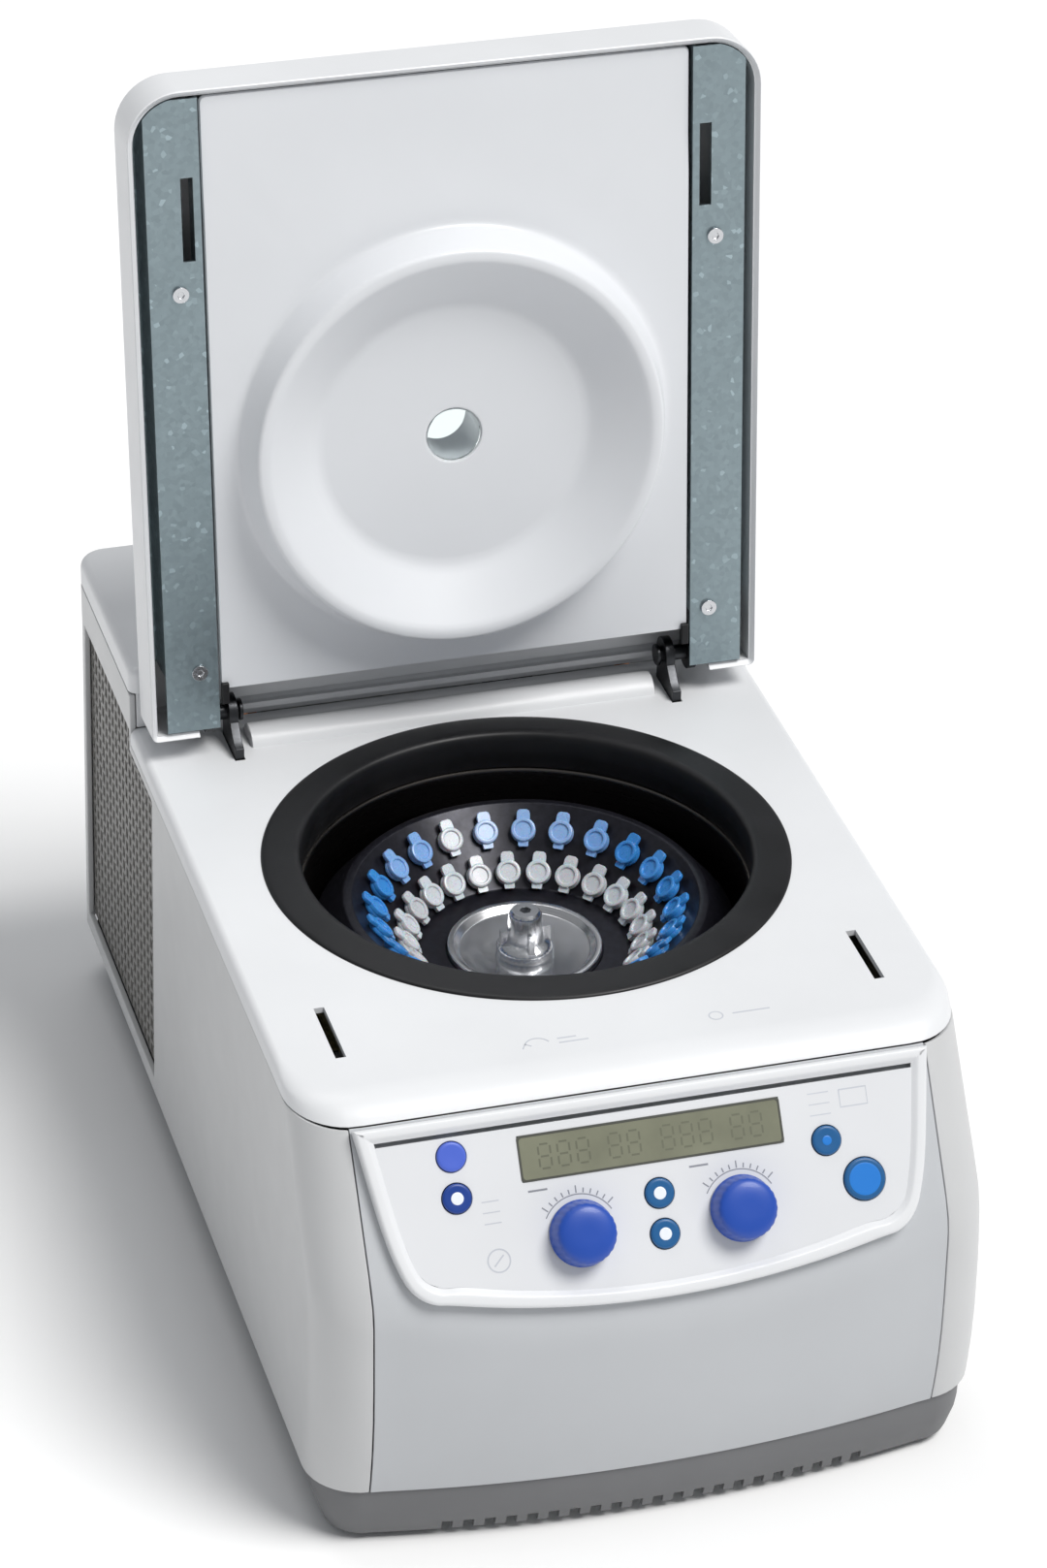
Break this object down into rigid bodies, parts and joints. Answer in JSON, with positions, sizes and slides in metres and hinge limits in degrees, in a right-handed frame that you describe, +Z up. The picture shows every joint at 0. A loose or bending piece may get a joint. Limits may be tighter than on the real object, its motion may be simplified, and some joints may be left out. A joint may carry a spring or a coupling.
{
  "type": "laboratory centrifuge",
  "caption": "Refrigerated bench-top laboratory centrifuge with hinged lid, lift-out fixed-angle rotor with capped tubes, latch hooks, keys, knobs, fan and mains switch.",
  "frame": {"origin": "centre of the footprint box, on the surface the feet stand on", "axes": "+X to the operator's right, +Y from the front to the back, +Z up"},
  "size_m": [0.3246, 0.5404, 0.5671],
  "materials": {
    "cover_plastic": "satin",
    "housing_paint": "satin",
    "panel_plastic": "satin",
    "skirt_plastic": "matte",
    "black_rubber": "matte",
    "galvanised": "brushed",
    "plated_steel": "bright",
    "stainless": "brushed",
    "sheet_steel": "satin",
    "grille_paint": "satin",
    "liner_plastic": "satin",
    "rotor_anodised": "anodised satin",
    "hub_aluminium": "turned",
    "tube_blue": "translucent gloss",
    "tube_clear": "translucent gloss",
    "knob_blue": "satin",
    "key_blue": "satin",
    "display": "gloss",
    "foil": "satin",
    "circuit_board": "matte",
    "foam": "matte",
    "copper": "bright",
    "cast_grey": "matte",
    "black_paint": "gloss",
    "black_plastic": "matte",
    "switch_green": "gloss",
    "window": "clear"
  },
  "bodies": {
    "casing": {"base_pan": "sheet_steel", "skirt": "skirt_plastic", "feet": "black_rubber", "housing_shell": "housing_paint", "front_panel": "panel_plastic", "top_cover": "cover_plastic", "rear_cover": "cover_plastic", "side_grilles": "grille_paint", "rear_panel": "sheet_steel", "power_inlet": "black_plastic", "hinge_brackets": "plated_steel", "hinge_pins": "plated_steel", "hinge_strip": "cover_plastic", "control_tray": "cover_plastic", "panel_foil": "foil", "display_lens": "display", "control_board": "circuit_board", "chamber_gasket": "black_rubber", "chamber_bowl": "stainless", "chamber_insulation": "foam", "cooling_coil": "copper", "motor_housing": "cast_grey", "motor_stator": "copper", "motor_bearings": "plated_steel", "motor_dampers": "black_rubber", "compressor": "black_paint", "condenser": "sheet_steel", "refrigerant_pipes": "copper", "fan_frame": "black_plastic", "power_board": "circuit_board", "latch_brackets": "sheet_steel", "latch_motors": "black_plastic"},
    "lid": {"lid_shell": "cover_plastic", "lid_liner": "liner_plastic", "left_rail": "galvanised", "right_rail": "galvanised", "lid_screws": "plated_steel", "lid_bumpers": "black_rubber", "window_glass": "window", "hinge_arms": "plated_steel"},
    "drive": {"drive_shaft": "plated_steel", "motor_core": "cast_grey"},
    "rotor": {"rotor_body": "rotor_anodised", "rotor_hub": "hub_aluminium", "outer_tubes": "tube_blue", "inner_tubes": "tube_clear"},
    "nut": {"rotor_nut": "plated_steel"},
    "tube": {"sample_tube": "tube_clear"},
    "left_hook": {"left_latch_hook": "plated_steel"},
    "right_hook": {"right_latch_hook": "plated_steel"},
    "time_dial": {"time_knob": "knob_blue"},
    "speed_dial": {"speed_knob": "knob_blue"},
    "switch": {"power_rocker": "switch_green"},
    "fan": {"fan_blades": "black_plastic"},
    "temp_up": {"temp_up_key": "key_blue"},
    "temp_down": {"temp_down_key": "key_blue"},
    "program": {"program_key": "key_blue"},
    "short_spin": {"short_key": "key_blue"},
    "lid_release": {"lid_key": "key_blue"},
    "start": {"start_key": "key_blue"}
  },
  "joints": [
    {"name": "lid_hinge", "type": "hinge", "parent": "casing", "child": "lid", "pos_m": [0, 0.1185, 0.237], "axis": [-1, 0, 0], "range_deg": [-94.75, 0]},
    {"name": "drive_spin", "type": "hinge", "parent": "casing", "child": "drive", "pos_m": [0, -0.022, 0.1], "axis": [0, 0, 1], "continuous": true},
    {"name": "rotor_lift", "type": "slide", "parent": "drive", "child": "rotor", "axis": [0, 0, 1], "range_m": [0, 0.12]},
    {"name": "nut_turn", "type": "hinge", "parent": "rotor", "child": "nut", "pos_m": [0, -0.022, 0.17], "axis": [0, 0, 1], "continuous": true},
    {"name": "tube_pull", "type": "slide", "parent": "rotor", "child": "tube", "axis": [0.183, -0.683, 0.7071], "range_m": [0, 0.045]},
    {"name": "left_hook_swing", "type": "hinge", "parent": "casing", "child": "left_hook", "pos_m": [-0.129, -0.141, 0.197], "axis": [1, 0, 0], "range_deg": [-85, 0]},
    {"name": "right_hook_swing", "type": "hinge", "parent": "casing", "child": "right_hook", "pos_m": [0.129, -0.141, 0.197], "axis": [1, 0, 0], "range_deg": [-85, 0]},
    {"name": "time_dial_turn", "type": "hinge", "parent": "casing", "child": "time_dial", "pos_m": [-0.038, -0.24903, 0.16205], "axis": [0, -0.8368, 0.5476], "continuous": true},
    {"name": "speed_dial_turn", "type": "hinge", "parent": "casing", "child": "speed_dial", "pos_m": [0.038, -0.24903, 0.16205], "axis": [0, -0.8368, 0.5476], "continuous": true},
    {"name": "switch_rock", "type": "hinge", "parent": "casing", "child": "switch", "pos_m": [0.026, 0.262, 0.065], "axis": [1, 0, 0], "range_deg": [0, 16]},
    {"name": "fan_spin", "type": "hinge", "parent": "casing", "child": "fan", "pos_m": [0.066, 0.204, 0.112], "axis": [1, 0, 0], "continuous": true},
    {"name": "temp_up_press", "type": "slide", "parent": "casing", "child": "temp_up", "axis": [0, 0.8368, -0.5476], "range_m": [0, 0.001], "stiffness_N_per_m": 500},
    {"name": "temp_down_press", "type": "slide", "parent": "casing", "child": "temp_down", "axis": [0, 0.8368, -0.5476], "range_m": [0, 0.001], "stiffness_N_per_m": 500},
    {"name": "program_press", "type": "slide", "parent": "casing", "child": "program", "axis": [0, 0.8368, -0.5476], "range_m": [0, 0.001], "stiffness_N_per_m": 500},
    {"name": "short_spin_press", "type": "slide", "parent": "casing", "child": "short_spin", "axis": [0, 0.8368, -0.5476], "range_m": [0, 0.001], "stiffness_N_per_m": 500},
    {"name": "lid_release_press", "type": "slide", "parent": "casing", "child": "lid_release", "axis": [0, 0.8368, -0.5476], "range_m": [0, 0.001], "stiffness_N_per_m": 500},
    {"name": "start_press", "type": "slide", "parent": "casing", "child": "start", "axis": [0, 0.8368, -0.5476], "range_m": [0, 0.001], "stiffness_N_per_m": 500}
  ],
  "couplings": [
    {"joint": "right_hook_swing", "follows": "left_hook_swing", "ratio": 1}
  ]
}
